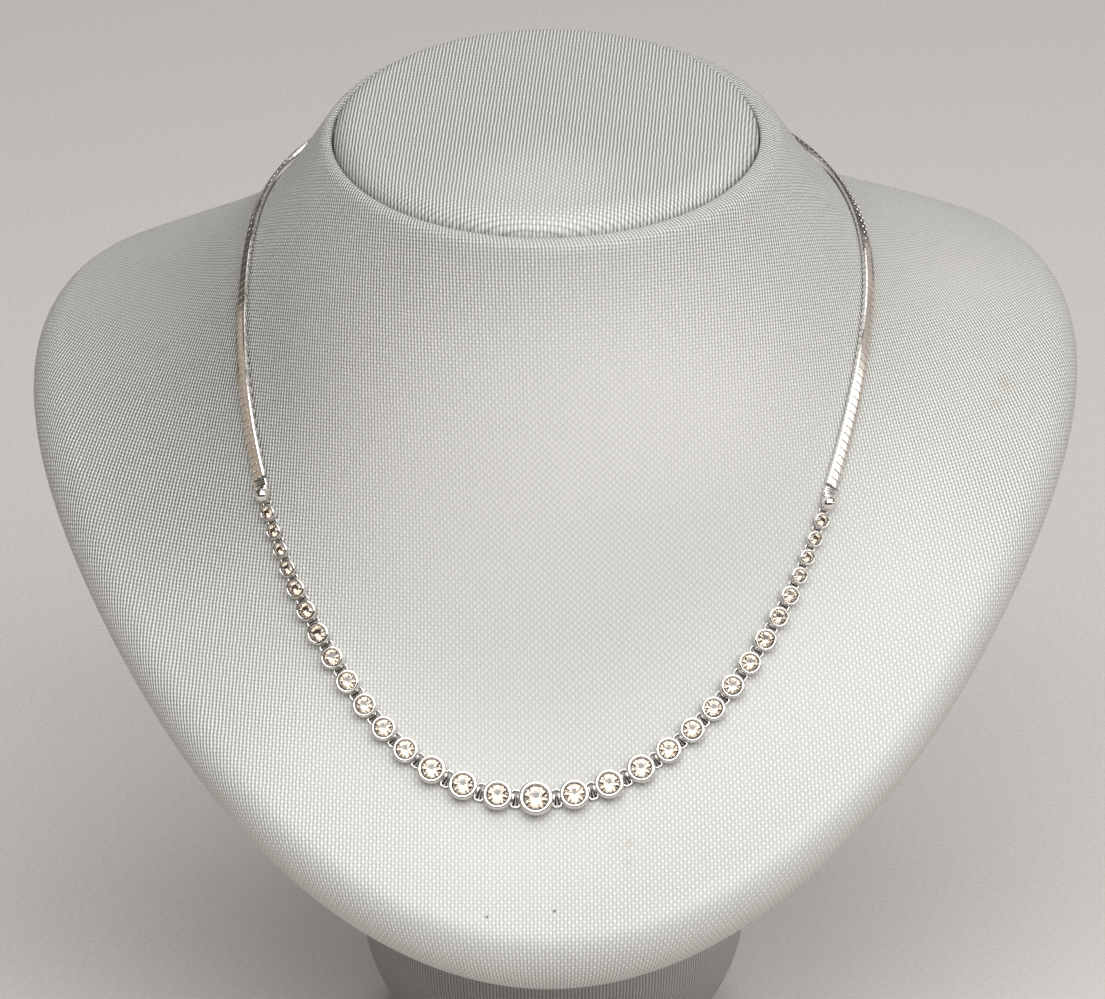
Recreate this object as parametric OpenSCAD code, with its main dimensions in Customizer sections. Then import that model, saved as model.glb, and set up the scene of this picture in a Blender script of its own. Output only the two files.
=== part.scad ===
// Diamond necklace on a neck bust, in millimetres.
// +Z is up, +X is the right of the picture and the chest faces -Y.
// The origin is the middle of the pedestal's underside.

/* [Neck bust] */
// Half width of the neck's upper edge
lip_half_width = 45.4; // [43:0.1:48]
// Half depth of the neck's upper edge
lip_half_depth = 44.6; // [42:0.1:47]
// Height of the middle of the neck's upper edge
lip_height = 197; // [190:0.5:205]
// Forward lean of the neck's upper edge, in degrees
lip_lean = 7.2; // [0:0.1:12]
// How far the neck's middle lies in front of the origin
neck_forward = 6; // [0:0.5:12]
// Width of the rounded lip round the cap
lip_width = 3.3; // [2.5:0.1:5]
// How far the right shoulder stands above the left one's level
shoulder_lift = 1.8; // [0:0.1:3]
// How far the right shoulder reaches past the left one
shoulder_shift = 1.4; // [0:0.1:3]
// Radius of the edge that rolls under
edge_radius = 9; // [3:0.1:12]

/* [Cap] */
// Height of the cap's padded edge above the lip's plane
cap_rise = 4.6; // [3:0.1:7]
// Extra height of the cap's middle
cap_crown = 1.4; // [0:0.1:3]
// How deep the cap sits in its recess
cap_seat_depth = 4; // [2:0.5:8]
// Gap all round the cap
cap_gap = 0.4; // [0.2:0.1:1]

/* [Pedestal] */
// Half width of the pedestal
pedestal_half_width = 40; // [36:0.5:44]
// Half depth of the pedestal
pedestal_half_depth = 36; // [30:0.5:40]
// Height of the pedestal
pedestal_height = 50; // [44:0.5:52]
// Radius of the curve that draws the pedestal in above its foot
pedestal_curve = 36; // [30:1:60]
// Height at which that curve begins
pedestal_curve_height = 24; // [16:0.5:30]

/* [Necklace] */
// Diameter of the centre setting
centre_d = 6.7; // [6:0.1:7.5]
// Diameter of the polished end balls
ball_d = 2.9; // [2:0.1:3.2]
// Gap between neighbours as a share of the smaller one's diameter
gap_share = 0.208; // [0.18:0.002:0.24]
// Clearance of every piece above the bust
lift = 0.25; // [0.2:0.05:0.5]
// Width of the flat chain
chain_width = 2.9; // [2:0.05:3.4]
// Thickness of the flat chain
chain_thickness = 1.05; // [0.6:0.05:1.3]
// Length of the clasp
clasp_length = 9; // [7:0.5:12]
// Width of the clasp
clasp_width = 3.6; // [3:0.1:5]
// Thickness of the clasp
clasp_thickness = 1.8; // [1.4:0.1:2.4]

/* [Hidden] */
// One row for each 22.5 degrees from the front of the bust round to its back, shared by both sides.
// Each row is a pull point: the smooth surface passes near it.
// Columns: reach and height of the rim, drop of the neck, run of the chest towards the rim,
// slope at the rim and flare of the neck, both in degrees.
bust_rows = [
    [95, 67, 55, 50, 38.5, 7],
    [93.5, 75.5, 53, 48.5, 39, 9],
    [93, 96.5, 47.5, 43.5, 37.5, 17.5],
    [95, 126.5, 42, 39, 31.5, 27],
    [100.5, 150, 38, 34, 25, 34],
    [103, 160.5, 36, 33, 22.5, 34.5],
    [86, 157.5, 33.5, 27, 33, 29],
    [67, 155, 29.5, 21, 50, 20],
    [60, 154, 28.5, 18, 58, 17]
];
row_turn = 22.5;

// The thread of the necklace, once round the neck. Columns: azimuth in degrees from the front towards
// the right, and share of the way from the neck's lip (0) to the rim (1). Rows are pull points too.
thread_rows = [
    [-2.5, 0.82], [14.5, 0.799], [29, 0.75], [42.5, 0.685], [55, 0.592], [68, 0.47], [84, 0.34],
    [104.5, 0.249], [127, 0.191], [151, 0.172], [177.5, 0.169], [204, 0.175], [229, 0.186], [251, 0.22],
    [273, 0.258], [288.5, 0.451], [301, 0.605], [313, 0.695], [326, 0.76], [340.5, 0.822]
];

// Diameters of the settings beside the centre one, from the chain's end (1) to the centre (15).
setting_ds = [3.2, 3.2, 3.2, 3.4, 3.9, 4.1, 4.5, 4.6, 4.75, 4.8, 4.95, 5.1, 5.6, 5.75, 5.8];
setting_count = len(setting_ds);
sides = ["left", "right"];

silver_cloth = "#c9cac5";
white_gold = "#dcdad6";
stone_colour = "#efe2d2";

up = [0, 0, 1];
function unit(v) = v / norm(v);
function outward(azimuth) = [sin(azimuth), -cos(azimuth), 0];

// Weights of the four pull points round a place that lies the share f past the second one.
function pull(f) = [(1 - f) ^ 3, 3 * f ^ 3 - 6 * f ^ 2 + 4, -3 * f ^ 3 + 3 * f ^ 2 + 3 * f + 1, f ^ 3] / 6;

// A row of the bust's table, for any whole number of turns of row_turn, mirrored past the back.
bust_last = len(bust_rows) - 1;
function mirrored(i) = let (m = ((i % (2 * bust_last)) + 2 * bust_last) % (2 * bust_last))
    bust_rows[m <= bust_last ? m : 2 * bust_last - m];
function section(azimuth) = let (t = azimuth / row_turn, i = floor(t), w = pull(t - i))
    w[0] * mirrored(i - 1) + w[1] * mirrored(i) + w[2] * mirrored(i + 1) + w[3] * mirrored(i + 2);

// Points of the neck's lip and of the rim at an azimuth.
function lip_point(azimuth, inset = 0, rise = 0, shift = 1) =
    let (back = -(lip_half_depth - inset) * cos(azimuth))
    [shift + (lip_half_width - inset) * sin(azimuth), back - neck_forward,
        lip_height + back * tan(lip_lean) + rise];
function rim_point(azimuth, row) = (row[0] + shoulder_shift * sin(azimuth)) * outward(azimuth)
    + (row[1] + shoulder_lift * sin(azimuth)) * up;
function neck_way(azimuth, row) = sin(row[5]) * outward(azimuth) - cos(row[5]) * up;
function rim_way(azimuth, angle) = cos(angle) * outward(azimuth) - sin(angle) * up;

// The bust's surface: at each azimuth a cubic curve runs from the lip (share 0) to the rim (share 1).
function bust_point(azimuth, share) =
    let (row = section(azimuth), a = lip_point(azimuth), d = rim_point(azimuth, row),
        b = a + row[2] * neck_way(azimuth, row), c = d - row[3] * rim_way(azimuth, row[4]), s = 1 - share)
    s ^ 3 * a + 3 * s ^ 2 * share * b + 3 * s * share ^ 2 * c + share ^ 3 * d;
function bust_normal(azimuth, share) = unit(cross(
    bust_point(azimuth, share + 0.005) - bust_point(azimuth, share - 0.005),
    bust_point(azimuth + 0.5, share) - bust_point(azimuth - 0.5, share)));

// The edge rolls under from the rim towards the seat on the pedestal, in the direction of that seat.
seat_margin = 1;
function seat_point(azimuth, inset = 0) = [(pedestal_half_width + seat_margin - inset) * sin(azimuth),
    -(pedestal_half_depth + seat_margin - inset) * cos(azimuth), pedestal_height + lift / 2];
function seat_angle(rim, seat) = atan2(rim[2] - seat[2],
    norm([seat[0], seat[1]]) - norm([rim[0], rim[1]]));
function roll_point(azimuth, share) =
    let (row = section(azimuth), rim = rim_point(azimuth, row), start = row[4],
        turn = start + share * (seat_angle(rim, seat_point(azimuth)) - start),
        middle = rim - edge_radius * (sin(start) * outward(azimuth) + cos(start) * up))
    middle + edge_radius * (sin(turn) * outward(azimuth) + cos(turn) * up);

// The lip curls from the neck over into the groove round the cap.
curl_out = 1.3;
curl_in = 1.1;
groove_rise = 0.4;
function curl_point(azimuth, share) =
    let (row = section(azimuth), a = lip_point(azimuth), d = lip_point(azimuth, lip_width, groove_rise, 0),
        b = a - curl_out * neck_way(azimuth, row), c = d + curl_in * up, s = 1 - share)
    s ^ 3 * a + 3 * s ^ 2 * share * b + 3 * s * share ^ 2 * c + share ^ 3 * d;

// Closed solid through rings of points, each ring going the same way round, the first one lowest,
// with a middle point under the first ring and one over the last.
module ring_solid(rings) {
    n = len(rings[0]);
    m = len(rings);
    middles = [for (ring = [rings[0], rings[m - 1]]) [for (k = [0:2]) [for (p = ring) p[k]] * [for (p = ring) 1 / n]]];
    points = concat([for (ring = rings) each ring], middles);
    walls = [for (j = [0:m - 2], i = [0:n - 1])
        let (a = j * n + i, b = j * n + (i + 1) % n, c = a + n, d = b + n)
        each [[a, c, b], [b, c, d]]];
    ends = [for (i = [0:n - 1]) each [
        [m * n, i, (i + 1) % n],
        [m * n + 1, (m - 1) * n + (i + 1) % n, (m - 1) * n + i]]];
    polyhedron(points, concat(walls, ends), convexity = 8);
}

bust_sides = 72;
function round_azimuths(n) = [for (i = [0:n - 1]) 360 * i / n];

module bust_form() {
    turns = round_azimuths(bust_sides);
    surface_rings = 22;
    roll_rings = 6;
    curl_rings = 5;
    color(silver_cloth) ring_solid(concat(
        [[for (a = turns) seat_point(a)]],
        [for (j = [roll_rings:-1:1]) [for (a = turns) roll_point(a, j / roll_rings)]],
        [for (j = [surface_rings:-1:0]) [for (a = turns) bust_point(a, j / surface_rings)]],
        [for (j = [1:curl_rings]) [for (a = turns) curl_point(a, j / curl_rings)]],
        [[for (a = turns) lip_point(a, lip_width, -cap_seat_depth, 0)]]
    ));
}

// The cap is a padded oval: its edge is a quarter of an oval and its top swells a little.
module neck_cap() {
    cap_sides = 60;
    edge_rings = 8;
    edge_inset = 5.5;
    inset = lip_width + cap_gap;
    turns = round_azimuths(cap_sides);
    seat = cap_gap - cap_seat_depth;
    rim_rise = 0.3;
    inner = lip_half_depth - inset - edge_inset;
    color(silver_cloth) ring_solid(concat(
        [[for (a = turns) lip_point(a, inset, seat, 0)]],
        [for (j = [0:edge_rings]) let (t = 90 * j / edge_rings) [for (a = turns)
            lip_point(a, inset + edge_inset * (1 - cos(t)), rim_rise + (cap_rise - rim_rise) * sin(t), 0)]],
        [for (share = [0.75, 0.5, 0.25]) [for (a = turns)
            lip_point(a, inset + edge_inset + inner * (1 - share), cap_rise + cap_crown * (1 - share ^ 2), 0)]]
    ));
}

// The pedestal is an oval block, drawn in by a round curve towards its flat foot. The curve goes on below
// the foot, where a box cuts it off level.
module pedestal() {
    steps = 6;
    foot_angle = asin(pedestal_curve_height / pedestal_curve);
    arc = [for (j = [steps + 1:-1:0]) let (t = foot_angle * j / steps)
        [pedestal_half_width - pedestal_curve * (1 - cos(t)), pedestal_curve_height - pedestal_curve * sin(t)]];
    profile = concat([[0, arc[0][1]]], arc, [[pedestal_half_width, pedestal_height], [0, pedestal_height]]);
    box = 3 * pedestal_half_width;
    color(silver_cloth) intersection() {
        scale([1, pedestal_half_depth / pedestal_half_width, 1])
            rotate_extrude($fn = 96) polygon(profile);
        translate([-box / 2, -box / 2, 0]) cube(box);
    }
}

// The thread of the necklace as a closed curve on the bust, with its length.
thread_count = len(thread_rows);
function thread_row(i) = let (turn = floor(i / thread_count), row = thread_rows[i - turn * thread_count])
    [row[0] + 360 * turn, row[1]];
function thread_place(t) = let (i = floor(t), w = pull(t - i))
    w[0] * thread_row(i - 1) + w[1] * thread_row(i) + w[2] * thread_row(i + 1) + w[3] * thread_row(i + 2);
thread_steps = 400;
thread_points = [for (j = [0:thread_steps]) let (q = thread_place(j * thread_count / thread_steps))
    bust_point(q[0], q[1])];
thread_lengths = [for (j = 0, l = 0; j <= thread_steps;
    j = j + 1, l = l + (j <= thread_steps ? norm(thread_points[j] - thread_points[j - 1]) : 0)) l];
thread_length = thread_lengths[thread_steps];
thread_table = [for (j = [0:thread_steps]) [thread_lengths[j], j * thread_count / thread_steps]];
// The length along the thread may be negative, to the left of the centre.
function thread_at(l) = thread_place(l < 0 ? lookup(l + thread_length, thread_table) - thread_count
    : lookup(l, thread_table));
function place_at(l) = let (q = thread_at(l)) bust_point(q[0], q[1]);
function normal_at(l) = let (q = thread_at(l)) bust_normal(q[0], q[1]);

// Puts its children at a length along the thread: X runs along the thread towards the right,
// Z leaves the bust and 0 is the bust's surface plus the clearance.
module on_thread(l, step = 1) {
    n = normal_at(l);
    x0 = place_at(l + step) - place_at(l - step);
    x = unit(x0 - (x0 * n) * n);
    y = cross(n, x);
    p = place_at(l) + lift * n;
    multmatrix([
        [x[0], y[0], n[0], p[0]],
        [x[1], y[1], n[1], p[1]],
        [x[2], y[2], n[2], p[2]],
        [0, 0, 0, 1]]) children();
}

// Diameter and length along the thread of each bead: 0 is the centre, then outwards to the end ball.
bead_ds = concat([centre_d], [for (i = [setting_count - 1:-1:0]) setting_ds[i]], [ball_d]);
function half_gap(k) = gap_share * min(bead_ds[k], bead_ds[k - 1]) / 2;
function pitch(k) = (bead_ds[k] + bead_ds[k - 1]) / 2 + 2 * half_gap(k);
bead_lengths = [for (k = 0, l = 0; k < len(bead_ds); k = k + 1, l = l + (k < len(bead_ds) ? pitch(k) : 0)) l];
function hand(side) = side == "left" ? -1 : 1;
function bead_at(side, k) = hand(side) * bead_lengths[k];
function rank(i) = setting_count + 1 - i;
ball_rank = setting_count + 1;

// A link is drawn for a 5.8 mm setting and scaled with the smaller of its two neighbours.
link_base_d = 5.8;
link_half_length = 1.15;
link_half_height = 1.9;
link_wire = 0.45;
link_floor = 0.25;
function link_scale(k) = min(bead_ds[k], bead_ds[k - 1]) / link_base_d;
function link_middle(k) = bead_lengths[k - 1] + bead_ds[k - 1] / 2 + half_gap(k);

// Bezel cup of diameter 1: a foot, a flaring wall, a rounded rim, a cone down to the stone's seat
// and an open back.
cup_height = 0.5;
cup_profile = [
    [0.36, 0], [0.36, 0.15], [0.45, 0.22], [0.49, 0.27], [0.5, 0.32], [0.49, 0.38], [0.46, 0.45],
    [0.44, 0.485], [0.415, 0.5], [0.385, 0.495], [0.36, 0.47], [0.345, 0.4], [0.345, 0.3], [0.25, 0.2],
    [0.25, 0]
];

// Knuckle of a bead of diameter d, drawn from the middle of the gap at link k: a bridge over the link's
// end bar and a post inside the link. The bridge ends inside the bead's metal.
module knuckle(k, d) {
    s = link_scale(k);
    bridge_low = 0.83;
    bridge_high = 1.28;
    post_floor = 0.1;
    post_near = 0.36;
    post_far = 0.6;
    half_width = 0.55;
    foot_half_width = 0.95;
    foot_far = 0.54;
    toe_near = 0.12;
    toe_high = 0.28;
    chamfer = 0.12;
    bead_end = gap_share * link_base_d / 2 + 0.2 * d / s;
    scale(s) rotate([90, 0, 0]) {
        translate([0, 0, -half_width]) linear_extrude(2 * half_width)
            polygon([[post_near, post_floor], [post_far, post_floor], [post_far, bridge_low],
                [bead_end, bridge_low], [bead_end, bridge_high], [post_near + chamfer, bridge_high],
                [post_near, bridge_high - chamfer]]);
        translate([0, 0, -foot_half_width]) linear_extrude(2 * foot_half_width)
            polygon([[toe_near, post_floor], [foot_far, post_floor], [foot_far, bridge_low],
                [post_near, bridge_low], [post_near, toe_high], [toe_near, toe_high]]);
    }
}

// Cup of one bead, with a knuckle towards each neighbour: links a and b lie before and after it.
module cup(k, a, b) {
    d = bead_ds[k];
    rotate([0, 0, 90]) rotate_extrude($fn = 72) polygon(d * cup_profile);
    translate([-d / 2 - half_gap(a), 0, 0]) knuckle(a, d);
    translate([d / 2 + half_gap(b), 0, 0]) mirror([1, 0, 0]) knuckle(b, d);
}

module setting(side, i) {
    k = rank(i);
    color(white_gold) on_thread(bead_at(side, k)) mirror([side == "left" ? 1 : 0, 0, 0]) cup(k, k, k + 1);
}

module setting_centre() color(white_gold) on_thread(0) cup(0, 1, 1);

// Round brilliant for a cup of diameter 1: culet, girdle and table.
stone_profile = [[0, 0.085], [0.325, 0.32], [0.325, 0.335], [0.19, 0.42], [0, 0.42]];
module stone(d) rotate_extrude($fn = 48) polygon(d * stone_profile);

module stone_centre() color(stone_colour) on_thread(0) stone(centre_d);
module stones(side) color(stone_colour)
    for (k = [1:setting_count]) on_thread(bead_at(side, k)) stone(bead_ds[k]);

// A rectangle with round corners, its middle at the origin.
module round_rectangle(half_x, half_y, r) {
    square([2 * half_x, 2 * (half_y - r)], center = true);
    square([2 * (half_x - r), 2 * half_y], center = true);
    for (sx = [-1, 1], sy = [-1, 1]) translate([sx * (half_x - r), sy * (half_y - r)]) circle(r, $fn = 48);
}

module link(k) {
    corner = 0.8;
    scale(link_scale(k)) translate([0, 0, link_floor]) linear_extrude(link_wire) difference() {
        round_rectangle(link_half_length, link_half_height, corner);
        round_rectangle(link_half_length - link_wire, link_half_height - link_wire, corner - link_wire);
    }
}

module links(side) color(white_gold)
    for (k = [1:ball_rank]) on_thread(hand(side) * link_middle(k)) link(k);

// The end ball has a knuckle towards the last setting and a flat ferrule towards the chain, as wide as
// the chain with a rim round it.
ferrule_length = 1.6;
ferrule_rim = 0.1;
ferrule_corner = 0.35;
module end_ball(side) {
    k = ball_rank;
    d = bead_ds[k];
    color(white_gold) on_thread(bead_at(side, k)) mirror([side == "left" ? 1 : 0, 0, 0]) {
        translate([0, 0, d / 2]) rotate([0, 90, 0]) rotate([0, 0, 90]) rotate_extrude($fn = 72)
            intersection() {
                circle(d / 2);
                translate([0, -d]) square([d, 2 * d]);
            }
        translate([0, 0, chain_thickness / 2 + ferrule_rim]) rotate([0, 90, 0])
            linear_extrude(d / 2 + ferrule_length)
                round_rectangle(chain_thickness / 2 + ferrule_rim, chain_width / 2 + ferrule_rim, ferrule_corner);
        translate([-d / 2 - half_gap(k), 0, 0]) knuckle(k, d);
    }
}

// The flat chain is one band from the end ball's ferrule to the clasp.
chain_sides = 8;
chain_step = 3.4;
end_gap = 0.1;
chain_start = bead_lengths[ball_rank] + ball_d / 2 + ferrule_length + end_gap;
nape = thread_length / 2;
// Half of the band's outline at a corner, flattened: the cosine and sine are taken to a power.
function flat(c) = sign(c) * abs(c) ^ 0.6;
function chain_ring(l) =
    let (n = normal_at(l), x0 = place_at(l + 1) - place_at(l - 1), x = unit(x0 - (x0 * n) * n), y = cross(n, x),
        p = place_at(l) + (lift + chain_thickness / 2) * n)
    [for (i = [0:chain_sides - 1]) let (t = 360 * (i + 0.5) / chain_sides)
        p + flat(cos(t)) * chain_width / 2 * y + flat(sin(t)) * chain_thickness / 2 * n];
module chain(side) {
    h = hand(side);
    start = h * chain_start;
    end = h * (nape - clasp_length / 2 - end_gap);
    rings = ceil(abs(end - start) / chain_step);
    ring_list = [for (j = [0:rings]) chain_ring(start + (end - start) * j / rings)];
    color(white_gold) ring_solid(side == "left" ? ring_list : [for (j = [rings:-1:0]) ring_list[j]]);
}

module clasp() color(white_gold) on_thread(nape) linear_extrude(clasp_thickness)
    round_rectangle(clasp_length / 2, clasp_width / 2, clasp_width / 3);

bust_form();
neck_cap();
pedestal();
setting_centre();
stone_centre();
for (side = sides) {
    for (i = [1:setting_count]) setting(side, i);
    stones(side);
    links(side);
    end_ball(side);
    chain(side);
}
clasp();
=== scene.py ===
"""Looks of a diamond necklace lying on its neck bust.

Lengths are in millimetres until a mesh is made, which turns them into metres, but the lamps' are in metres.
+Z is up, +X is the right of the picture and the chest faces -Y. Azimuths are in degrees from the front
towards the right. The share of a place on the bust runs from 0 at the neck's lip to 1 at the rim of the
chest and shoulders.
"""
from __future__ import annotations

import logging
import math
from dataclasses import dataclass, field, replace
from enum import Enum
from typing import Sequence

import bpy
import numpy as np
from mathutils import Matrix, Vector

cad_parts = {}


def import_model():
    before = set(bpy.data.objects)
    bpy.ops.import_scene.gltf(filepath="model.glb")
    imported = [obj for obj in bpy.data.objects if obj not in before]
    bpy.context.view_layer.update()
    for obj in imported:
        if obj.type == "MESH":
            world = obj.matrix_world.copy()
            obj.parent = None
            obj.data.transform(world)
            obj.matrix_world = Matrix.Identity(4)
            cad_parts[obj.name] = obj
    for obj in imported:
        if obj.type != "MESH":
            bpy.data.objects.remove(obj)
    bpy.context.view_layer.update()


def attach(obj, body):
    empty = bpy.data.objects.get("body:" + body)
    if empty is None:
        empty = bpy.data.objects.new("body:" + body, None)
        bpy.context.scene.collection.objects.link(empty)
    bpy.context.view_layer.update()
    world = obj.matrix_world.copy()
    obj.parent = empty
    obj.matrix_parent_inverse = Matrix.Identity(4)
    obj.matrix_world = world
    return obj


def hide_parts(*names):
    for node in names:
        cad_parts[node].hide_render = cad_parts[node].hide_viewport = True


log = logging.getLogger("necklace")
MM = 0.001
BODY = "root"
Array = np.ndarray


class Side(Enum):
    """Half of the necklace, with the sign of its lengths along the thread."""

    LEFT = -1
    RIGHT = 1

    @property
    def word(self) -> str:
        """Name of the side as the CAD nodes spell it."""
        return self.name.lower()


def unit(v: Array) -> Array:
    """Vectors of the last axis, each divided by its own length."""
    return v / np.linalg.norm(v, axis=-1, keepdims=True)


def pull_weights(f: Array) -> Array:
    """Weights of a uniform cubic B-spline's four pull points, at the share f between the middle two.

    Args:
        f: shares from 0 to 1, shape (n,).

    Returns:
        Weights, shape (4, n).
    """
    return np.array([(1 - f) ** 3, 3 * f**3 - 6 * f**2 + 4, -3 * f**3 + 3 * f**2 + 3 * f + 1, f**3]) / 6


def round_spline(rows: Array, t: Array, lap: Sequence[float] = (0.0,)) -> Array:
    """Closed cubic B-spline through rows of pull points.

    Args:
        rows: pull points, shape (k, m); the last one is followed by the first.
        t: places counted in rows, shape (n,).
        lap: what the values grow by each time round, one number or m of them.

    Returns:
        Values, shape (n, m).
    """
    i = np.floor(t).astype(int)
    w = pull_weights(t - i)
    k = [i - 1 + j for j in range(4)]
    return sum(w[j][:, None] * (rows[k[j] % len(rows)] + np.outer(k[j] // len(rows), lap)) for j in range(4))


def smooth_between(rows: Array, t: Array) -> Array:
    """Cubic curve through rows of points: between two of them it leaves along the chord of their neighbours.

    Args:
        rows: points along axis 0.
        t: places counted in rows, shape (n,); the ends go on in a straight line.

    Returns:
        Values, shape (n, ...).
    """
    ends = np.concatenate([[2 * rows[0] - rows[1]], rows, [2 * rows[-1] - rows[-2]]])
    i = np.clip(np.floor(t).astype(int), 0, len(rows) - 2)
    f = (t - i).reshape((-1,) + (1,) * (rows.ndim - 1))
    a, b, c, d = (ends[i + k] for k in range(4))
    return b + 0.5 * f * (c - a + f * (2 * a - 5 * b + 4 * c - d + f * (3 * (b - c) + d - a)))


def cubic(a: Array, b: Array, c: Array, d: Array, s: Array | float) -> Array:
    """Cubic curve at the share s, from a, which it leaves towards b, to d, which it reaches from c."""
    return (1 - s) ** 3 * a + 3 * (1 - s) ** 2 * s * b + 3 * (1 - s) * s**2 * c + s**3 * d


@dataclass
class Shell:
    """Points in millimetres with their faces, map coordinates for each face corner, and painted shade, 0 to
    1, for where a piece stands down in a dark recess.
    """

    points: Array
    faces: list[Array]
    maps: list[Array] = field(default_factory=list)
    tarnish: Array | float = 0.0

    def outward(self) -> Shell:
        """The closed shell with its faces turned so that the volume they hold counts as positive.

        Returns:
            The shell itself, or one with every face and its map turned round.
        """
        volume = 0.0
        for f in self.faces:
            p = self.points[f]
            for k in range(1, f.shape[1] - 1):
                volume += np.einsum("ij,ij->", p[:, 0], np.cross(p[:, k], p[:, k + 1]))
        if volume >= 0:
            return self
        return replace(self, faces=[f[:, ::-1] for f in self.faces], maps=[m[:, ::-1] for m in self.maps])

    def placed(self, frame: Array) -> Shell:
        """The shell moved by a frame.

        Args:
            frame: columns X, Y, Z and origin, shape (3, 4).

        Returns:
            The moved shell.
        """
        return replace(self, points=self.points @ frame[:, :3].T + frame[:, 3]).outward()


def joined(shells: Sequence[Shell]) -> Shell:
    """Several shells as one, each turned outwards first.

    Args:
        shells: the shells, in the order of their faces.

    Returns:
        One shell.
    """
    faces: list[Array] = []
    maps: list[Array] = []
    start = 0
    for s in (shell.outward() for shell in shells):
        faces += [f + start for f in s.faces]
        maps += s.maps
        start += len(s.points)
    tarnish = np.concatenate([np.broadcast_to(s.tarnish, len(s.points)) for s in shells])
    return Shell(np.concatenate([s.points for s in shells]), faces, maps, tarnish)


def net(points: Array, round_u: bool, round_v: bool, ends: bool = False, uv: Array | None = None) -> Shell:
    """Quads over a grid of points.

    Args:
        points: shape (nu, nv, 3).
        round_u: whether the last row joins the first.
        round_v: whether the last column joins the first.
        ends: whether the first and last columns are closed with a fan round their mean point.
        uv: map coordinates, shape (nu + round_u, nv + round_v, 2), so that a seam may differ on its sides.

    Returns:
        The shell.
    """
    nu, nv = points.shape[:2]
    u, v = (a.ravel() for a in np.meshgrid(np.arange(nu - (not round_u)), np.arange(nv - (not round_v)),
                                           indexing="ij"))
    corners = [(u, v), (u + 1, v), (u + 1, v + 1), (u, v + 1)]
    faces = [np.stack([(a % nu) * nv + b % nv for a, b in corners], 1)]
    maps = [] if uv is None else [np.stack([uv[a, b] for a, b in corners], 1)]
    flat = points.reshape(-1, 3)
    if ends:
        k = np.arange(nu)
        flat = np.concatenate([flat, points[:, :1].mean(0), points[:, -1:].mean(0)])
        for column, tip, turn in ((0, nu * nv, -1), (nv - 1, nu * nv + 1, 1)):
            ring = np.stack([k * nv + column, (k + 1) % nu * nv + column, np.full(nu, tip)], 1)
            faces.append(ring[:, ::turn])
            if uv is not None:
                middle = np.broadcast_to(uv[:, column].mean(0), (nu, 2))
                maps.append(np.stack([uv[k, column], uv[k + 1, column], middle], 1)[:, ::turn])
    return Shell(flat, faces, maps)


def swept(path: Array, side: Array, up: Array, section: Array, round_path: bool = False) -> Shell:
    """A section carried along a path: each point is path + section x times side + section y times up.

    Args:
        path: shape (m, 3).
        side: shape (m, 3) or (3,).
        up: shape (m, 3) or (3,).
        section: closed outline, shape (k, 2), or (m, k, 2) where it changes along the path.
        round_path: whether the path is closed.

    Returns:
        The shell, closed at its ends.
    """
    m = len(path)
    side = np.broadcast_to(side, (m, 3))
    up = np.broadcast_to(up, (m, 3))
    section = np.broadcast_to(section, (m,) + section.shape[-2:])
    points = path[:, None] + section[..., :1] * side[:, None] + section[..., 1:] * up[:, None]
    return net(points.transpose(1, 0, 2), True, round_path, ends=not round_path)


def turned(profile: Array, steps: int, round_profile: bool = False) -> Shell:
    """A profile of radius and height turned about the Z axis.

    Args:
        profile: shape (m, 2), radius first.
        steps: number of columns round the axis.
        round_profile: whether the profile is a closed loop; if not, its ends are closed.

    Returns:
        The shell.
    """
    a = np.linspace(0, 2 * np.pi, steps, endpoint=False)[:, None]
    points = np.stack([profile[:, 0] * np.cos(a), profile[:, 0] * np.sin(a), profile[:, 1] + 0 * a], -1)
    return net(points, True, round_profile, ends=not round_profile)


def oval(half_x: float, half_y: float, count: int, power: float = 2.0) -> Array:
    """Outline |x / half_x| ^ power + |y / half_y| ^ power = 1; a higher power is squarer.

    Args:
        half_x: half width.
        half_y: half height.
        count: number of points.
        power: exponent of the outline, 2 for an ellipse.

    Returns:
        Points, shape (count, 2), against the clock.
    """
    t = np.linspace(0, 2 * np.pi, count, endpoint=False)
    c, s = np.cos(t), np.sin(t)
    p = 2 / power
    return np.stack([half_x * np.sign(c) * np.abs(c) ** p, half_y * np.sign(s) * np.abs(s) ** p], 1)


def piece(name: str, shell: Shell, nodes: Sequence[str], finish: bpy.types.Material,
          smooth: bool = True) -> bpy.types.Object:
    """Makes an object of a shell, dresses it and ties it to the frame.

    Args:
        name: name of the piece.
        shell: its points and faces, in millimetres.
        nodes: CAD nodes that it stands for.
        finish: its material.
        smooth: whether its faces are shaded smooth.

    Returns:
        The object.
    """
    mesh = bpy.data.meshes.new(name)
    mesh.from_pydata((shell.points * MM).tolist(), [], [q for f in shell.faces for q in f.tolist()])
    if shell.maps:
        layer = mesh.uv_layers.new(name="cloth")
        layer.data.foreach_set("uv", np.concatenate([m.reshape(-1) for m in shell.maps]).astype(np.float32))
    # Painted shade for each point, when the shell has any.
    if np.any(shell.tarnish):
        layer = mesh.attributes.new("tarnish", "FLOAT", "POINT")
        layer.data.foreach_set("value", shell.tarnish.astype(np.float32))
    mesh.polygons.foreach_set("use_smooth", np.full(len(mesh.polygons), smooth))
    mesh.materials.append(finish)
    mesh.validate()
    obj = bpy.data.objects.new(name, mesh)
    bpy.context.scene.collection.objects.link(obj)
    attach(obj, BODY)
    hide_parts(*nodes)
    log.info("%s: %d faces", name, len(mesh.polygons))
    return obj


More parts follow.
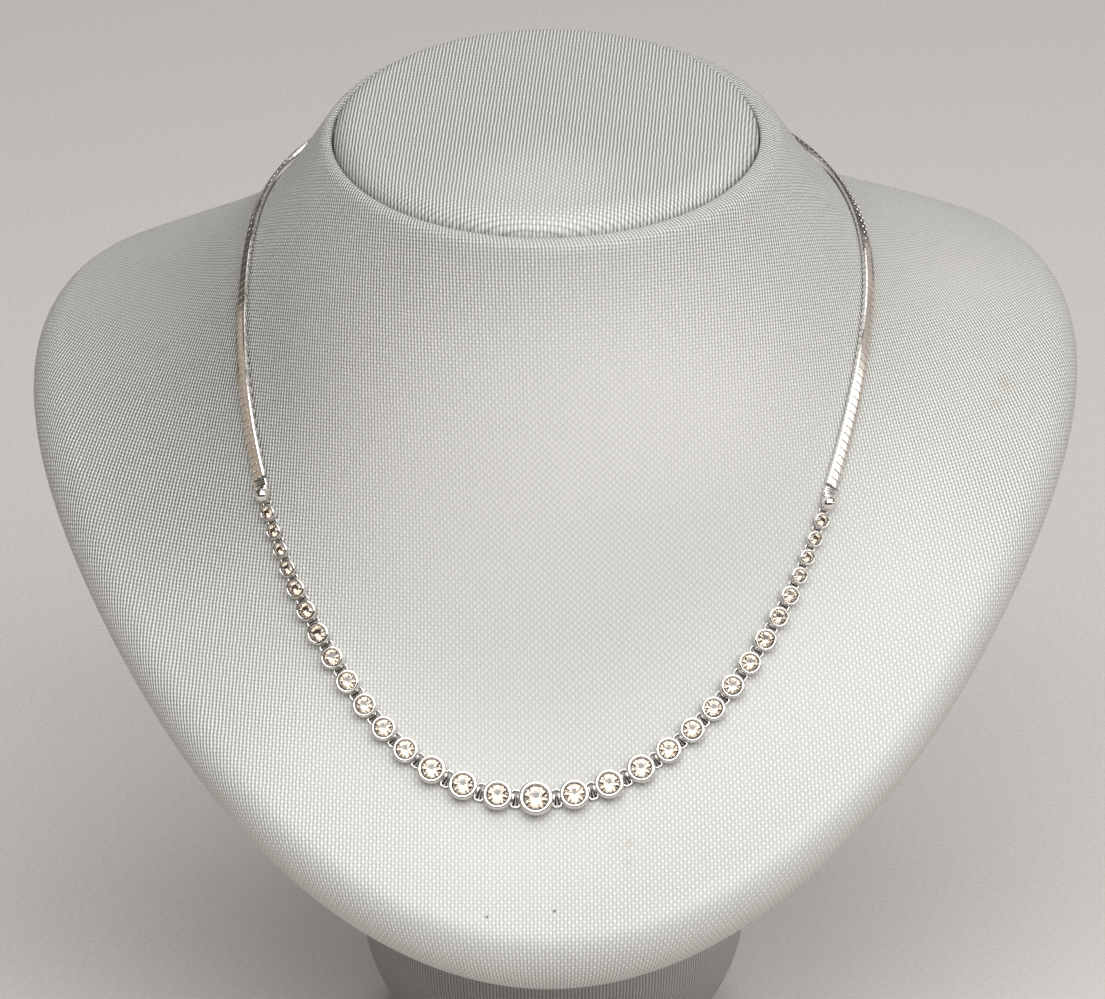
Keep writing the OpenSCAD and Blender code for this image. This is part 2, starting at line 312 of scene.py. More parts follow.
@dataclass(frozen=True)
class Bench:
    """A material's node tree with short calls to add to it."""

    material: bpy.types.Material

    @staticmethod
    def new(name: str) -> Bench:
        """An empty material with an output node.

        Args:
            name: the material's name.

        Returns:
            Its bench.
        """
        material = bpy.data.materials.new(name)
        material.use_nodes = True
        material.node_tree.nodes.clear()
        material.node_tree.nodes.new("ShaderNodeOutputMaterial")
        return Bench(material)

    def add(self, kind: str, settings: dict | None = None, **sockets: object) -> bpy.types.Node:
        """Adds a node.

        Args:
            kind: the node's type name.
            settings: properties of the node.
            sockets: input values or sockets to link; a name such as in0 counts inputs, and _ stands for a
                space in a socket's name.

        Returns:
            The node.
        """
        node = self.material.node_tree.nodes.new(kind)
        for key, value in (settings or {}).items():
            setattr(node, key, value)
        for key, value in sockets.items():
            socket = node.inputs[int(key[2:]) if key.startswith("in") and key[2:].isdigit()
                                 else key.replace("_", " ")]
            if isinstance(value, bpy.types.NodeSocket):
                self.material.node_tree.links.new(value, socket)
            else:
                socket.default_value = value
        return node

    def math(self, operation: str, *values: object) -> bpy.types.NodeSocket:
        """Result of a Math node on one to three values or sockets."""
        sockets = {f"in{i}": v for i, v in enumerate(values)}
        return self.add("ShaderNodeMath", {"operation": operation}, **sockets).outputs[0]

    def mix(self, share: object, a: object, b: object, blend: str = "MIX") -> bpy.types.NodeSocket:
        """Colour between a and b by share."""
        node = self.add("ShaderNodeMix", {"data_type": "RGBA", "blend_type": blend}, in0=share, in6=a, in7=b)
        return node.outputs[2]

    def steps(self, value: object, low: float, high: float, out_low: float = 0.0,
              out_high: float = 1.0) -> bpy.types.NodeSocket:
        """Value carried smoothly from the range low to high onto out_low to out_high."""
        settings = {"interpolation_type": "SMOOTHSTEP"}
        return self.add("ShaderNodeMapRange", settings, in0=value, in1=low, in2=high, in3=out_low,
                        in4=out_high).outputs[0]

    def place(self) -> bpy.types.NodeSocket:
        """Object coordinates, in metres."""
        return self.add("ShaderNodeTexCoord").outputs["Object"]

    def noise(self, place: bpy.types.NodeSocket, scale: float, detail: float) -> bpy.types.NodeSocket:
        """Noise from 0 to 1, with scale waves to each unit of the place's coordinates."""
        return self.add("ShaderNodeTexNoise", in0=place, Scale=scale, Detail=detail).outputs[0]

    def gap(self, place: bpy.types.NodeSocket, centre: Sequence[float]) -> bpy.types.NodeSocket:
        """Distance in metres of a place from a centre given in millimetres."""
        return self.add("ShaderNodeVectorMath", {"operation": "DISTANCE"}, in0=place,
                        in1=[c * MM for c in centre]).outputs["Value"]

    def finish(self, **sockets: object) -> bpy.types.Material:
        """Ends the material with a principled shader.

        Args:
            sockets: the shader's values or the sockets to link, named as in add.

        Returns:
            The material.
        """
        shader = self.add("ShaderNodeBsdfPrincipled", **sockets)
        tree = self.material.node_tree
        tree.links.new(shader.outputs[0], tree.nodes["Material Output"].inputs[0])
        return self.material


Colour = tuple[float, float, float, float]
YELLOWED: Colour = (0.62, 0.56, 0.36, 1)
BROWNED: Colour = (0.5, 0.42, 0.32, 1)
BLACK: Colour = (0.05, 0.05, 0.045, 1)


@dataclass(frozen=True)
class Mark:
    """A stain or speck on the cloth, at a point in millimetres."""

    centre: tuple[float, float, float]
    radius: float
    colour: Colour
    strength: float


@dataclass(frozen=True)
class Stretch:
    """A region round a point in millimetres where the cloth's height is drawn to a level by a share.

    The share is whole within the inner radius and fades to none at the outer one. A share below 0 draws the
    height away from the level, which deepens the weave. The painted pit shade follows the height, so a
    stretch also sets how much painted shade its region shows: less for a high level, more for a low one or a
    share below 0.
    """

    centre: tuple[float, float, float]
    inner: float
    outer: float
    share: float
    level: float


@dataclass(frozen=True)
class WovenLeatherette:
    """Silvery leatherette embossed in plain weave, one unit of the map for each thread.

    The crossing at u, v has its lengthwise thread on top where cos pi u * cos pi v is positive. A lengthwise
    thread is a ridge of height |cos pi u| + rise * cos pi u * cos pi v - notch * (1 - |cos pi v|) ^ 2, and a
    crosswise one is a ridge of height cross * (|cos pi v| - rise * cos pi u * cos pi v). The larger one
    shows, with the step between them rounded by the blend. Noise shifts the map by up to half the drift.
    """

    name: str
    bright: Colour = (0.76, 0.76, 0.73, 1)
    dark: Colour = (0.60, 0.60, 0.575, 1)
    # Painted shade in the pits between the threads, and how strongly it shows.
    painted_pit_shade: Colour = (0.20, 0.20, 0.19, 1)
    painted_pit_shade_share: float = 0.78
    thread: float = 0.7
    rise: float = 0.1
    notch: float = 0.4
    cross: float = 0.38
    blend: float = 0.2
    drift: float = 0.4
    drift_scale: float = 0.35
    mottle: float = 0.1
    mottle_scale: float = 45.0
    depth: float = 0.25 * MM
    metallic: float = 0.3
    roughness: float = 0.6
    marks: tuple[Mark, ...] = ()
    stretches: tuple[Stretch, ...] = ()

    def weave(self, bench: Bench) -> tuple[bpy.types.NodeSocket, bpy.types.NodeSocket]:
        """The weave on the cloth map.

        Args:
            bench: the material's nodes.

        Returns:
            Which thread is on top, from -1 to 1, and the height from 0 to 1.
        """
        place = bench.add("ShaderNodeUVMap", {"uv_map": "cloth"})
        drift = bench.add("ShaderNodeTexNoise", in0=place.outputs[0], Scale=self.drift_scale, Detail=1.0)
        shift = bench.add("ShaderNodeVectorMath", {"operation": "SUBTRACT"}, in0=drift.outputs["Color"],
                          in1=(0.5, 0.5, 0.5))
        moved = bench.add("ShaderNodeVectorMath", {"operation": "MULTIPLY_ADD"}, in0=shift.outputs[0],
                          in1=(self.drift, self.drift, 0.0), in2=place.outputs[0])
        parts = bench.add("ShaderNodeSeparateXYZ", in0=moved.outputs[0])
        across = bench.math("COSINE", bench.math("MULTIPLY", parts.outputs[0], math.pi))
        along = bench.math("COSINE", bench.math("MULTIPLY", parts.outputs[1], math.pi))
        over = bench.math("MULTIPLY", across, along)
        lift = bench.math("MULTIPLY", over, self.rise)
        length = bench.math("ABSOLUTE", along)
        dip = bench.math("POWER", bench.math("SUBTRACT", 1.0, length), 2.0)
        dip = bench.math("MULTIPLY", dip, self.notch)
        warp = bench.math("SUBTRACT", bench.math("ADD", bench.math("ABSOLUTE", across), lift), dip)
        weft = bench.math("MULTIPLY", bench.math("SUBTRACT", length, lift), self.cross)
        return over, bench.math("DIVIDE", bench.math("SMOOTH_MAX", warp, weft, self.blend), 1 + self.rise)

    def material(self) -> bpy.types.Material:
        """The finish as a material: painted shade between the threads, mottled, then stained by its marks.

        Returns:
            The material.
        """
        bench = Bench.new(self.name)
        over, height = self.weave(bench)
        place = bench.place()
        spread = 0.0
        for stretch in self.stretches:
            share = bench.steps(bench.gap(place, stretch.centre), stretch.outer * MM, stretch.inner * MM,
                                0.0, stretch.share)
            drawn = bench.math("MULTIPLY", share, bench.math("SUBTRACT", stretch.level, height))
            height = bench.math("ADD", height, drawn)
            spread = bench.math("MAXIMUM", spread, share)
        crosswise = bench.mix(spread, self.bright, self.dark)
        colour = bench.mix(bench.steps(over, -0.5, 0.5), crosswise, self.bright)
        # Painted shade: colour drawn towards near black where the weave's height is low, in its pits.
        colour = bench.mix(bench.steps(height, 0.7, 0.3, 0.0, self.painted_pit_shade_share), colour, self.painted_pit_shade)
        mottle = bench.noise(place, self.mottle_scale, 4.0)
        colour = bench.mix(bench.steps(mottle, 0.35, 0.75, 0.0, self.mottle), colour, self.dark)
        for mark in self.marks:
            share = bench.steps(bench.gap(place, mark.centre), mark.radius * MM, 0.0, 0.0, mark.strength)
            colour = bench.mix(share, colour, mark.colour, "MULTIPLY")
        bump = bench.add("ShaderNodeBump", Strength=1.0, Distance=self.depth, Height=height)
        return bench.finish(Base_Color=colour, Metallic=self.metallic, Roughness=self.roughness,
                            Normal=bump.outputs[0])


@dataclass(frozen=True)
class WhiteGold:
    """Polished white gold with faint handling marks, and painted shade, near black and rougher, where a
    piece's attribute says so.
    """

    name: str
    colour: Colour = (0.82, 0.79, 0.76, 1)
    tarnished: Colour = (0.03, 0.022, 0.018, 1)
    roughness: float = 0.09
    clean_part: float = 0.6
    smeared_part: float = 1.6
    smear_scale: float = 260.0
    wave_scale: float = 900.0
    wave_depth: float = 0.02 * MM
    dulling: float = 0.4

    def material(self) -> bpy.types.Material:
        """The finish as a material: smears change its roughness, waves its bump, and the painted shade
        attribute darkens its colour and dulls it.

        Returns:
            The material.
        """
        bench = Bench.new(self.name)
        place = bench.place()
        waves = bench.noise(place, self.wave_scale, 3.0)
        smears = bench.noise(place, self.smear_scale, 4.0)
        rough = bench.steps(smears, 0.3, 0.7, self.roughness * self.clean_part,
                            self.roughness * self.smeared_part)
        bump = bench.add("ShaderNodeBump", Strength=0.25, Distance=self.wave_depth, Height=waves)
        # Painted shade: the attribute turns the gold near black and rougher low in the slots inside the
        # links.
        tarnish = bench.add("ShaderNodeAttribute", {"attribute_name": "tarnish"}).outputs["Fac"]
        return bench.finish(
            Base_Color=bench.mix(tarnish, self.colour, self.tarnished), Metallic=1.0,
            Roughness=bench.math("MULTIPLY_ADD", tarnish, self.dulling, rough), Normal=bump.outputs[0])


@dataclass(frozen=True)
class ChampagneBrilliant:
    """Clear cut stone with a light champagne tint."""

    name: str
    colour: Colour = (0.52, 0.42, 0.33, 1)
    roughness: float = 0.1
    bending: float = 1.9

    def material(self) -> bpy.types.Material:
        """The finish as a material; bending is its index of refraction."""
        return Bench.new(self.name).finish(
            Base_Color=self.colour, Metallic=0.0, Roughness=self.roughness, IOR=self.bending,
            Transmission_Weight=1.0)


@dataclass(frozen=True)
class Lip:
    """The oval upper edge of the neck and the groove that holds the cap."""

    half_width: float = 45.4
    half_depth: float = 44.6
    height: float = 197.0
    lean: float = 7.2
    forward: float = 6.0
    aside: float = 1.0
    width: float = 3.3
    groove: float = 4.0

    def at(self, azimuth: Array, inset: float = 0.0, rise: float = 0.0, aside: float = 0.0) -> Array:
        """Points of the leaning oval: the half axes less the inset, raised by rise.

        Args:
            azimuth: degrees, shape (n,).
            inset: how far inside the outer edge.
            rise: height above the lip's plane.
            aside: how far to the right of the origin the middle lies.

        Returns:
            Points, shape (n, 3).
        """
        a = np.radians(azimuth)
        back = -(self.half_depth - inset) * np.cos(a)
        height = self.height + back * math.tan(math.radians(self.lean)) + rise
        return np.stack([aside + (self.half_width - inset) * np.sin(a), back - self.forward, height], -1)


@dataclass(frozen=True)
class Foot:
    """The oval pedestal: straight above, drawn in by a round curve towards the foot."""

    half_width: float = 40.0
    half_depth: float = 36.0
    height: float = 50.0
    curve: float = 36.0
    curve_height: float = 24.0

    def half_at(self, z: Array) -> Array:
        """Half width at a height: the curve is a circle that starts upright at curve_height."""
        down = np.clip(self.curve_height - z, 0, None)
        return self.half_width - self.curve + np.sqrt(self.curve**2 - down**2)


def bust_rows() -> Array:
    """Pull points for each 22.5 degrees from front to back, mirrored to a closed round.

    Returns:
        Rows of rim reach, rim height, neck drop, chest run, rim slope and neck flare.
    """
    rows = np.array([
        [95, 67, 55, 50, 38.5, 7],
        [93.5, 75.5, 53, 48.5, 39, 9],
        [93, 96.5, 47.5, 43.5, 37.5, 17.5],
        [95, 126.5, 42, 39, 31.5, 27],
        [100.5, 150, 38, 34, 25, 34],
        [103, 160.5, 36, 33, 22.5, 34.5],
        [86, 157.5, 33.5, 27, 33, 29],
        [67, 155, 29.5, 21, 50, 20],
        [60, 154, 28.5, 18, 58, 17],
    ])
    return np.concatenate([rows, rows[-2:0:-1]])


@dataclass(frozen=True)
class Bust:
    """The neck bust's outer shape and its woven cover."""

    lip: Lip = Lip()
    foot: Foot = Foot()
    shoulder_lift: float = 1.8
    shoulder_shift: float = 1.4
    edge: float = 9.0
    curl_out: float = 1.3
    curl_in: float = 1.1
    curl_rise: float = 0.4
    seat_margin: float = 1.0
    seat_gap: float = 0.125
    rows: Array = field(default_factory=bust_rows)

    def row(self, azimuth: Array) -> Array:
        """The six sizes of the section at each azimuth."""
        return round_spline(self.rows, azimuth / (360 / len(self.rows)))

    @staticmethod
    def away(azimuth: Array) -> Array:
        """Level unit vectors that point away from the axis."""
        a = np.radians(azimuth)
        return np.stack([np.sin(a), -np.cos(a), 0 * a], -1)

    @staticmethod
    def slanted(azimuth: Array, angle: Array) -> Array:
        """Unit vectors away from the axis, turned down by an angle in degrees."""
        t = np.radians(angle)[:, None]
        return np.cos(t) * Bust.away(azimuth) - np.sin(t) * np.array([0, 0, 1.0])

    def rim(self, azimuth: Array) -> Array:
        """Points of the rim, where the edge starts to roll under; the right shoulder is higher and wider.

        Args:
            azimuth: degrees, shape (n,).

        Returns:
            Points, shape (n, 3).
        """
        row, swing = self.row(azimuth), np.sin(np.radians(azimuth))
        reach = (row[:, 0] + self.shoulder_shift * swing)[:, None]
        height = row[:, 1] + self.shoulder_lift * swing
        return reach * self.away(azimuth) + np.stack([0 * swing, 0 * swing, height], -1)

    def surface(self, azimuth: Array, share: Array) -> Array:
        """Cubic curve from the lip, down the neck's flare, to the rim along the rim's slope.

        Args:
            azimuth: degrees, shape (n,).
            share: from 0 at the lip to 1 at the rim, shape (n,).

        Returns:
            Points, shape (n, 3).
        """
        row = self.row(azimuth)
        a, d = self.lip.at(azimuth, aside=self.lip.aside), self.rim(azimuth)
        b = a + row[:, 2:3] * self.slanted(azimuth, 90 - row[:, 5])
        c = d - row[:, 3:4] * self.slanted(azimuth, row[:, 4])
        return cubic(a, b, c, d, share[:, None])

    def normal(self, azimuth: Array, share: Array) -> Array:
        """Outward unit normals of the surface, from its slopes on both sides of each place.

        Args:
            azimuth: degrees, shape (n,).
            share: from 0 at the lip to 1 at the rim, shape (n,).

        Returns:
            Unit vectors, shape (n, 3).
        """
        part, turn = 0.005, 0.5
        down = self.surface(azimuth, share + part) - self.surface(azimuth, share - part)
        across = self.surface(azimuth + turn, share) - self.surface(azimuth - turn, share)
        return unit(np.cross(down, across))

    def seat(self, azimuth: Array) -> Array:
        """Oval round the top of the pedestal where the underside ends.

        Args:
            azimuth: degrees, shape (n,).

        Returns:
            Points, shape (n, 3).
        """
        a = np.radians(azimuth)
        wide, deep = self.foot.half_width + self.seat_margin, self.foot.half_depth + self.seat_margin
        return np.stack([wide * np.sin(a), -deep * np.cos(a), 0 * a + self.foot.height + self.seat_gap], -1)

    def roll(self, azimuth: Array, share: float) -> Array:
        """Round edge from the rim's slope to the slope of the straight underside.

        Args:
            azimuth: degrees, shape (n,).
            share: from 0 at the rim to 1 at the underside.

        Returns:
            Points, shape (n, 3).
        """
        row, rim, seat = self.row(azimuth), self.rim(azimuth), self.seat(azimuth)
        level = np.hypot(seat[:, 0], seat[:, 1]) - np.hypot(rim[:, 0], rim[:, 1])
        end = np.degrees(np.arctan2(rim[:, 2] - seat[:, 2], level))
        turn = row[:, 4] + share * (end - row[:, 4])
        middle = rim - self.edge * self.slanted(azimuth, row[:, 4] - 90)
        return middle + self.edge * self.slanted(azimuth, turn - 90)

    def curl(self, azimuth: Array, share: float) -> Array:
        """The lip's rounded top, a cubic curve from the neck over into the groove.

        Args:
            azimuth: degrees, shape (n,).
            share: from 0 at the neck to 1 at the groove.

        Returns:
            Points, shape (n, 3).
        """
        row = self.row(azimuth)
        a = self.lip.at(azimuth, aside=self.lip.aside)
        d = self.lip.at(azimuth, self.lip.width, self.curl_rise)
        b = a - self.curl_out * self.slanted(azimuth, 90 - row[:, 5])
        c = d + np.array([0, 0, self.curl_in])
        return cubic(a, b, c, d, share)


@dataclass(frozen=True)
class ClothMap:
    """Flattens a grid of points as a cloth that keeps its lengths and angles as nearly as it can.

    Each triangle is laid out at its true size. In every round each triangle takes the turn that fits the map
    best, and the map is drawn again so that its edges fit the turned triangles, which is one linear system.
    """

    rounds: int = 30

    def flatten(self, points: Array, start: Array) -> Array:
        """Lays the grid flat.

        Args:
            points: shape (nu, nv, 3).
            start: first guess of the map, shape (nu, nv, 2).

        Returns:
            The map in the units of the points, shape (nu, nv, 2).
        """
        nu, nv = points.shape[:2]
        at = np.arange(nu * nv).reshape(nu, nv)
        a, b, c, d = (x.ravel() for x in (at[:-1, :-1], at[1:, :-1], at[1:, 1:], at[:-1, 1:]))
        tri = np.concatenate([np.stack([a, b, c], 1), np.stack([a, c, d], 1)])
        p = points.reshape(-1, 3)[tri]
        along = p[:, 1] - p[:, 0]
        length = np.linalg.norm(along, axis=1)
        aside = p[:, 2] - p[:, 0]
        x = np.einsum("ij,ij->i", along, aside) / length
        y = np.linalg.norm(np.cross(along, aside), axis=1) / length
        flat = np.zeros((len(tri), 3, 2))
        flat[:, 1, 0], flat[:, 2, 0], flat[:, 2, 1] = length, x, y
        uv = start.reshape(-1, 2).copy()
        q = uv[tri]
        first, second = q[:, 1] - q[:, 0], q[:, 2] - q[:, 0]
        if np.median(first[:, 0] * second[:, 1] - first[:, 1] * second[:, 0]) < 0:
            flat[:, 2, 1] *= -1
        edges = []
        system = np.zeros((nu * nv, nu * nv))
        for i, j, k in ((0, 1, 2), (1, 2, 0), (2, 0, 1)):
            e, f = flat[:, i] - flat[:, k], flat[:, j] - flat[:, k]
            weight = np.einsum("ij,ij->i", e, f) / np.abs(e[:, 0] * f[:, 1] - e[:, 1] * f[:, 0])
            edges.append((tri[:, i], tri[:, j], weight, flat[:, i] - flat[:, j]))
            for m, n, sign in ((tri[:, i], tri[:, i], 1), (tri[:, j], tri[:, j], 1),
                               (tri[:, i], tri[:, j], -1), (tri[:, j], tri[:, i], -1)):
                np.add.at(system, (m, n), sign * weight)
        pin = at[nu // 2, nv // 2]
        system[pin] = 0
        system[pin, pin] = 1
        solve = np.linalg.inv(system)
        for _ in range(self.rounds):
            fit = sum(w[:, None, None] * (uv[m] - uv[n])[:, :, None] * f[:, None, :] for m, n, w, f in edges)
            turn = np.arctan2(fit[:, 1, 0] - fit[:, 0, 1], fit[:, 0, 0] + fit[:, 1, 1])
            cos, sin = np.cos(turn)[:, None], np.sin(turn)[:, None]
            goal = np.zeros_like(uv)
            for m, n, w, f in edges:
                step = np.stack([f[:, 0], f[:, 1]], 1) * cos + np.stack([-f[:, 1], f[:, 0]], 1) * sin
                np.add.at(goal, m, w[:, None] * step)
                np.add.at(goal, n, -w[:, None] * step)
            goal[pin] = uv[pin]
            uv = solve @ goal
        uv = uv.reshape(nu, nv, 2)
        mid = nu // 2
        across = unit(uv[mid + 1, nv // 2] - uv[mid - 1, nv // 2])
        turn_back = np.array([[across[0], -across[1]], [across[1], across[0]]])
        return (uv - uv[mid, nv // 2]) @ turn_back


@dataclass(frozen=True)
class BustCover:
    """The leatherette cover of the bust."""

    bust: Bust
    columns: int = 360
    surface_rows: int = 110
    roll_rows: int = 12
    under_rows: int = 12
    curl_rows: int = 8
    coarse_columns: int = 72
    coarse_rows: int = 16
    guess_reach: float = 100.0
    guess_turn: float = 0.44
    cloth: WovenLeatherette = WovenLeatherette(
        "bust_leatherette",
        marks=(Mark((91.1, -13.3, 146.7), 3.2, YELLOWED, 0.2),
               Mark((88.8, -17.8, 144.4), 2.6, YELLOWED, 0.22),
               Mark((-76.8, -8.2, 153.6), 2.6, BROWNED, 0.12),
               Mark((14.6, -82.9, 81.1), 1.6, BROWNED, 0.18),
               Mark((14.3, -85.6, 78.4), 1.4, BROWNED, 0.16),
               Mark((0.0, -92.4, 71.6), 0.55, BLACK, 0.9),
               Mark((-13.0, -93.0, 70.8), 0.5, BLACK, 0.9)),
        # Through the height, the stretches also set the painted pit shade: light over the chest's middle,
        # even lower down, deeper round the neck and on the left shoulder.
        stretches=(Stretch((0.0, -60.0, 140.0), 8.0, 92.0, 0.8, 0.74),
                   Stretch((45.0, -75.0, 100.0), 35.0, 110.0, 0.8, 0.53),
                   Stretch((-32.0, -88.0, 85.0), 20.0, 55.0, 0.6, 0.55),
                   Stretch((-12.0, -5.0, 185.0), 30.0, 110.0, -1.0, 0.5),
                   Stretch((-80.0, -15.0, 150.0), 25.0, 55.0, -0.6, 0.5)))

    def cloth_map(self, azimuth: Array, share: Array) -> Array:
        """Map coordinates on the fine grid, from the flattened coarse one; the first guess is a cone's fan.

        Args:
            azimuth: degrees from -180 to 180, shape (nu,).
            share: shape (nv,).

        Returns:
            Threads, shape (nu, nv, 2).
        """
        az = np.linspace(-180, 180, self.coarse_columns + 1)
        sh = np.linspace(0, 1, self.coarse_rows)
        grid = np.meshgrid(az, sh, indexing="ij")
        points = self.bust.surface(grid[0].ravel(), grid[1].ravel()).reshape(len(az), len(sh), 3)
        steps = np.linalg.norm(np.diff(points, axis=1), axis=2)
        down = np.concatenate([np.zeros((len(az), 1)), np.cumsum(steps, axis=1)], axis=1)
        reach = self.guess_reach + down
        turn = np.radians(self.guess_turn * az)[:, None]
        start = np.stack([reach * np.sin(turn), -reach * np.cos(turn)], -1)
        flat = ClothMap().flatten(points, start) / self.cloth.thread
        flat = smooth_between(flat, (azimuth + 180) / (az[1] - az[0]))
        return smooth_between(flat.transpose(1, 0, 2), share / (sh[1] - sh[0])).transpose(1, 0, 2)

    def build(self) -> bpy.types.Object:
        """The closed cover, from the groove's floor over the lip and under the rim to the pedestal.

        Returns:
            The object. Past the flattened surface its map goes on straight at the cloth's true length.
        """
        bust = self.bust
        az = np.linspace(-180, 180, self.columns + 1)
        cut = az[:-1]
        share = np.linspace(0, 1, self.surface_rows)
        floor = bust.lip.at(cut, bust.lip.width, -bust.lip.groove)
        rings = [floor, (floor + bust.curl(cut, 1.0)) / 2]
        rings += [bust.curl(cut, s) for s in np.linspace(1, 0, self.curl_rows, endpoint=False)]
        top = len(rings)
        rings += [bust.surface(cut, np.full(len(cut), s)) for s in share]
        rings += [bust.roll(cut, s) for s in np.linspace(0, 1, self.roll_rows + 1)[1:]]
        last, seat = rings[-1], bust.seat(cut)
        rings += [last + (seat - last) * s for s in np.linspace(0, 1, self.under_rows + 1)[1:]]
        points = np.stack(rings, 1)
        uv = np.zeros((len(az), len(rings), 2))
        uv[:, top:top + len(share)] = self.cloth_map(az, share)
        closed = np.concatenate([points, points[:1]])
        threads = np.linalg.norm(np.diff(closed, axis=1), axis=2)[..., None] / self.cloth.thread
        way = unit(uv[:, top] - uv[:, top + 1])
        for k in range(top - 1, -1, -1):
            uv[:, k] = uv[:, k + 1] + way * threads[:, k]
        rim = top + len(share) - 1
        way = unit(uv[:, rim] - uv[:, rim - 1])
        for k in range(rim + 1, len(rings)):
            if k == rim + self.roll_rows + 1:
                way = -way
            uv[:, k] = uv[:, k - 1] + way * threads[:, k - 1]
        return piece("bust_cover", net(points, True, False, ends=True, uv=uv),
                     ["bust_form"], self.cloth.material())


@dataclass(frozen=True)
class CapPad:
    """The padded oval cap in the top of the neck."""

    lip: Lip
    gap: float = 0.4
    rise: float = 4.6
    crown: float = 1.4
    edge: float = 5.5
    wall_low: float = -1.5
    wall_high: float = 0.3
    turn: float = -4.0
    columns: int = 240
    edge_rows: int = 22
    top_rows: int = 30
    # The cap's cloth carries stronger painted shade in its pits.
    cloth: WovenLeatherette = WovenLeatherette(
        "cap_leatherette", painted_pit_shade_share=0.9, stretches=(Stretch((0.0, -36.0, 194.0), 5.0, 25.0, 0.7, 0.52),))

    def build(self) -> bpy.types.Object:
        """The pad: a quarter of an oval up its edge, then a top that swells with one minus share squared.

        Returns:
            The object, its cloth laid straight down and turned a little.
        """
        az = np.linspace(-180, 180, self.columns, endpoint=False)
        inset = self.lip.width + self.gap
        inner = self.lip.half_depth - inset - self.edge
        rings = [self.lip.at(az, inset, self.gap - self.lip.groove), self.lip.at(az, inset, self.wall_low)]
        for t in np.radians(np.linspace(0, 90, self.edge_rows)):
            rings.append(self.lip.at(az, inset + self.edge * (1 - math.cos(t)),
                                     self.wall_high + (self.rise - self.wall_high) * math.sin(t)))
        for s in np.linspace(1, 0, self.top_rows, endpoint=False)[1:]:
            rings.append(self.lip.at(az, inset + self.edge + inner * (1 - s),
                                     self.rise + self.crown * (1 - s**2)))
        points = np.stack(rings, 1)
        turn = math.radians(self.turn)
        flat = points[..., :2] / self.cloth.thread
        uv = np.stack([flat[..., 0] * math.cos(turn) + flat[..., 1] * math.sin(turn),
                       flat[..., 1] * math.cos(turn) - flat[..., 0] * math.sin(turn)], -1)
        uv = np.concatenate([uv, uv[:1]])
        obj = piece("cap_pad", net(points, True, False, ends=True, uv=uv), ["neck_cap"],
                    self.cloth.material())
        return obj


@dataclass(frozen=True)
class PedestalCover:
    """The covered pedestal under the bust, its cloth painted darker as the shade under the chest."""

    foot: Foot
    columns: int = 240
    curve_rows: int = 24
    straight_rows: int = 14
    # Painted shade: the same cloth as the bust's, darkened to stand for the shadow of the chest above.
    cloth: WovenLeatherette = WovenLeatherette(
        "pedestal_leatherette", bright=(0.50, 0.50, 0.48, 1), dark=(0.44, 0.44, 0.42, 1))

    def build(self) -> bpy.types.Object:
        """Rings of the oval, its depth in proportion to its width, closed above and below.

        Returns:
            The object, its cloth wrapped round it.
        """
        az = np.radians(np.linspace(-180, 180, self.columns + 1))
        foot = self.foot
        heights = np.concatenate([np.linspace(0, foot.curve_height, self.curve_rows, endpoint=False),
                                  np.linspace(foot.curve_height, foot.height, self.straight_rows)])
        half = foot.half_at(heights)
        deep = foot.half_depth / foot.half_width
        points = np.stack([half * np.sin(az)[:, None], -deep * half * np.cos(az)[:, None],
                           heights + 0 * az[:, None]], -1)
        around = az[:, None] * 0.5 * (foot.half_width + foot.half_depth)
        uv = np.stack([around + 0 * heights, heights + 0 * around], -1) / self.cloth.thread
        return piece("pedestal_cover", net(points[:-1], True, False, ends=True, uv=uv),
                     ["pedestal"], self.cloth.material())


def thread_rows() -> Array:
    """Pull points of the necklace's thread: azimuth and share, once round the neck."""
    return np.array([
        [-2.5, 0.82], [14.5, 0.799], [29, 0.75], [42.5, 0.685], [55, 0.592], [68, 0.47], [84, 0.34],
        [104.5, 0.249], [127, 0.191], [151, 0.172], [177.5, 0.169], [204, 0.175], [229, 0.186], [251, 0.22],
        [273, 0.258], [288.5, 0.451], [301, 0.605], [313, 0.695], [326, 0.76], [340.5, 0.822],
    ])


@dataclass
class Thread:
    """The route of the necklace on the bust, a closed cubic B-spline of azimuth and share."""

    bust: Bust
    lift: float = 0.25
    samples: int = 2001
    chord: float = 2.0
    rows: Array = field(default_factory=thread_rows)

    def __post_init__(self) -> None:
        """Measures the route once."""
        self.t = np.linspace(0, len(self.rows), self.samples)
        points = self.bust.surface(*self.place(self.t).T)
        self.run = np.concatenate([[0], np.cumsum(np.linalg.norm(np.diff(points, axis=0), axis=1))])
        self.length = self.run[-1]

    def place(self, t: Array) -> Array:
        """Azimuth and share at places counted in rows, shape (n, 2)."""
        return round_spline(self.rows, t, (360.0, 0.0))

    def frames(self, lengths: Array) -> Array:
        """Frames along the thread, measured from the centre setting towards the right.

        Args:
            lengths: shape (n,).

        Returns:
            Columns X along the thread, Y across it, Z away from the cloth, and the origin, shape (n, 3, 4).
        """
        def points(at: Array) -> tuple[Array, Array]:
            """Points on the cloth at lengths along the thread, with their azimuths and shares."""
            place = self.place(np.interp(at % self.length, self.run, self.t))
            return self.bust.surface(*place.T), place

        here, place = points(lengths)
        n = self.bust.normal(*place.T)
        x = points(lengths + self.chord / 2)[0] - points(lengths - self.chord / 2)[0]
        x = unit(x - np.einsum("ij,ij->i", x, n)[:, None] * n)
        return np.stack([x, np.cross(n, x), n, here + self.lift * n], -1)


def bead_sizes() -> Array:
    """Diameters outwards: the centre setting, the fifteen beside it and the end ball."""
    return np.array([6.7, 5.8, 5.75, 5.6, 5.1, 4.95, 4.8, 4.75, 4.6, 4.5, 4.1, 3.9, 3.4, 3.2, 3.2, 3.2, 2.9])


